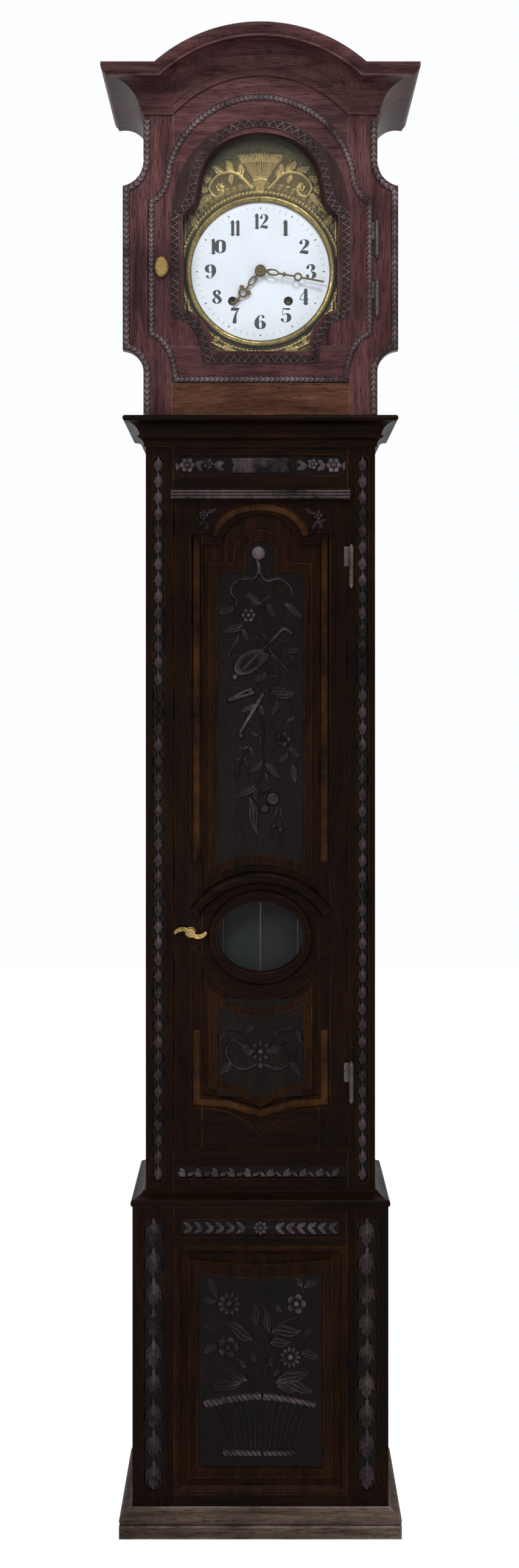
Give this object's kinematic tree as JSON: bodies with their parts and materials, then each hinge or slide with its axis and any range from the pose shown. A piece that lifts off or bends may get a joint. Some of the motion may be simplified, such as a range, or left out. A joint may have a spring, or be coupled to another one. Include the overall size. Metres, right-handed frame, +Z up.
{
  "type": "longcase clock",
  "caption": "Tall carved-oak longcase clock: arched glazed hood, narrow waist with an oval-windowed door, panelled base, weight-driven striking movement with pendulum.",
  "frame": {"origin": "centre of the base's footprint at floor level, the middle of the bounding box's bottom face", "axes": "+Z up, +X to the viewer's right facing the dial, -Y out of the front (dial side)"},
  "size_m": [0.505, 0.288, 2.3997],
  "materials": {
    "dark_oak": "waxed, worn at the edges",
    "hood_oak": "waxed with a bluish bloom",
    "sill_wood": "waxed",
    "back_wood": "plain sawn",
    "brass": "aged",
    "bell_metal": "turned bell metal",
    "iron": "forged and oiled",
    "cast_iron": "rough cast",
    "glass": "clear",
    "enamel": "fired enamel",
    "gut": "twisted gut"
  },
  "bodies": {
    "case": {"plinth_moulding": "dark_oak", "base_stiles": "dark_oak", "base_rails": "dark_oak", "base_panel": "dark_oak", "base_sides": "dark_oak", "back_boards": "back_wood", "shoulder_moulding": "dark_oak", "trunk_stiles": "dark_oak", "trunk_rails": "dark_oak", "trunk_sides": "dark_oak", "waist_cornice": "dark_oak", "seat_board": "back_wood", "trunk_hinge_pins": "iron", "movement_cage": "iron", "movement_bars": "iron", "bell": "bell_metal", "bell_stand": "iron", "dial_surround": "brass", "enamel_dial": "enamel", "dial_bezel": "brass", "going_line": "gut", "strike_line": "gut"},
    "trunk_door": {"door_hinge_barrels": "iron", "door_stiles": "dark_oak", "door_rails": "dark_oak", "door_mouldings": "dark_oak", "door_upper_panel": "dark_oak", "door_lower_panel": "dark_oak", "lenticle_ring": "dark_oak", "lenticle_glass": "glass", "handle_rosette": "brass"},
    "trunk_latch": {"trunk_handle": "brass"},
    "hood": {"hood_stiles": "hood_oak", "hood_sill_rail": "sill_wood", "hood_arch_rail": "hood_oak", "hood_boards": "hood_oak", "hood_cornice": "hood_oak", "hood_hinge_pins": "iron"},
    "hood_door": {"hood_door_stiles": "hood_oak", "hood_door_arch": "hood_oak", "hood_door_rail": "hood_oak", "hood_glass": "glass", "hood_hinge_barrels": "iron"},
    "hood_latch": {"hood_knob": "dark_oak"},
    "minute_arbor": {"centre_wheel": "brass", "minute_hand": "brass"},
    "hour_pipe": {"hour_wheel": "brass", "hour_hand": "brass"},
    "motion_arbor": {"motion_wheel": "brass"},
    "third_arbor": {"third_wheel": "brass"},
    "escape_arbor": {"escape_wheel": "brass"},
    "great_arbor": {"going_great_wheel": "brass"},
    "anchor_arbor": {"anchor": "iron"},
    "pendulum": {"pendulum_rod": "iron", "pendulum_bob": "brass"},
    "going_barrel": {"going_drum": "brass"},
    "going_load": {"going_weight": "cast_iron"},
    "strike_barrel": {"strike_drum": "brass"},
    "strike_load": {"strike_weight": "cast_iron"},
    "bell_hammer": {"hammer": "iron"}
  },
  "joints": [
    {"name": "trunk_door_hinge", "type": "hinge", "parent": "case", "child": "trunk_door", "pos_m": [0.146, -0.0843, 1.137], "axis": [0, 0, 1], "range_deg": [0, 110]},
    {"name": "trunk_latch_turn", "type": "hinge", "parent": "trunk_door", "child": "trunk_latch", "pos_m": [-0.1125, -0.08, 0.957], "axis": [0, 1, 0], "range_deg": [0, 90]},
    {"name": "hood_lift", "type": "slide", "parent": "case", "child": "hood", "axis": [0, 0, 1], "range_m": [0, 0.5]},
    {"name": "hood_door_hinge", "type": "hinge", "parent": "hood", "child": "hood_door", "pos_m": [0.1875, -0.0843, 2.0245], "axis": [0, 0, 1], "range_deg": [0, 110]},
    {"name": "hood_latch_turn", "type": "hinge", "parent": "hood_door", "child": "hood_latch", "pos_m": [-0.159, -0.08, 2.028], "axis": [0, 1, 0], "range_deg": [0, 90]},
    {"name": "minute_turn", "type": "hinge", "parent": "case", "child": "minute_arbor", "pos_m": [0, -0.03, 2.029], "axis": [0, 1, 0], "continuous": true},
    {"name": "hour_turn", "type": "hinge", "parent": "case", "child": "hour_pipe", "pos_m": [0, -0.03, 2.029], "axis": [0, 1, 0], "continuous": true},
    {"name": "motion_turn", "type": "hinge", "parent": "case", "child": "motion_arbor", "pos_m": [-0.02, -0.008, 2.029], "axis": [0, 1, 0], "continuous": true},
    {"name": "third_turn", "type": "hinge", "parent": "case", "child": "third_arbor", "pos_m": [0, 0.02, 2.063], "axis": [0, 1, 0], "continuous": true},
    {"name": "escape_turn", "type": "hinge", "parent": "case", "child": "escape_arbor", "pos_m": [0, 0.03, 2.0918], "axis": [0, 1, 0], "continuous": true},
    {"name": "great_turn", "type": "hinge", "parent": "case", "child": "great_arbor", "pos_m": [-0.0455, 0.016, 1.981], "axis": [0, 1, 0], "continuous": true},
    {"name": "pendulum_swing", "type": "hinge", "parent": "case", "child": "pendulum", "pos_m": [0, -0.028, 2.119], "axis": [0, 1, 0], "range_deg": [-2, 2]},
    {"name": "anchor_swing", "type": "hinge", "parent": "case", "child": "anchor_arbor", "pos_m": [0, 0.03, 2.119], "axis": [0, 1, 0], "range_deg": [-2, 2]},
    {"name": "going_fall", "type": "slide", "parent": "case", "child": "going_load", "axis": [0, 0, 1], "range_m": [0, 1.15], "deforming": ["going_line"]},
    {"name": "going_wind", "type": "hinge", "parent": "case", "child": "going_barrel", "pos_m": [-0.0455, 0.045, 1.981], "axis": [0, 1, 0], "continuous": true},
    {"name": "strike_fall", "type": "slide", "parent": "case", "child": "strike_load", "axis": [0, 0, 1], "range_m": [0, 1.15], "deforming": ["strike_line"]},
    {"name": "strike_wind", "type": "hinge", "parent": "case", "child": "strike_barrel", "pos_m": [0.0455, 0.045, 1.981], "axis": [0, 1, 0], "continuous": true},
    {"name": "hammer_swing", "type": "hinge", "parent": "case", "child": "bell_hammer", "pos_m": [-0.046, 0.045, 2.099], "axis": [0, 1, 0], "range_deg": [-10, 0]}
  ],
  "couplings": [
    {"joint": "hour_turn", "follows": "minute_turn", "ratio": 0.083333},
    {"joint": "motion_turn", "follows": "minute_turn", "ratio": -0.33333},
    {"joint": "third_turn", "follows": "minute_turn", "ratio": -7.5},
    {"joint": "escape_turn", "follows": "minute_turn", "ratio": 52.5},
    {"joint": "great_turn", "follows": "minute_turn", "ratio": -0.083333},
    {"joint": "anchor_swing", "follows": "pendulum_swing", "ratio": 1},
    {"joint": "going_wind", "follows": "going_fall", "rad_per_m": 58.824},
    {"joint": "strike_wind", "follows": "strike_fall", "rad_per_m": -58.824}
  ]
}
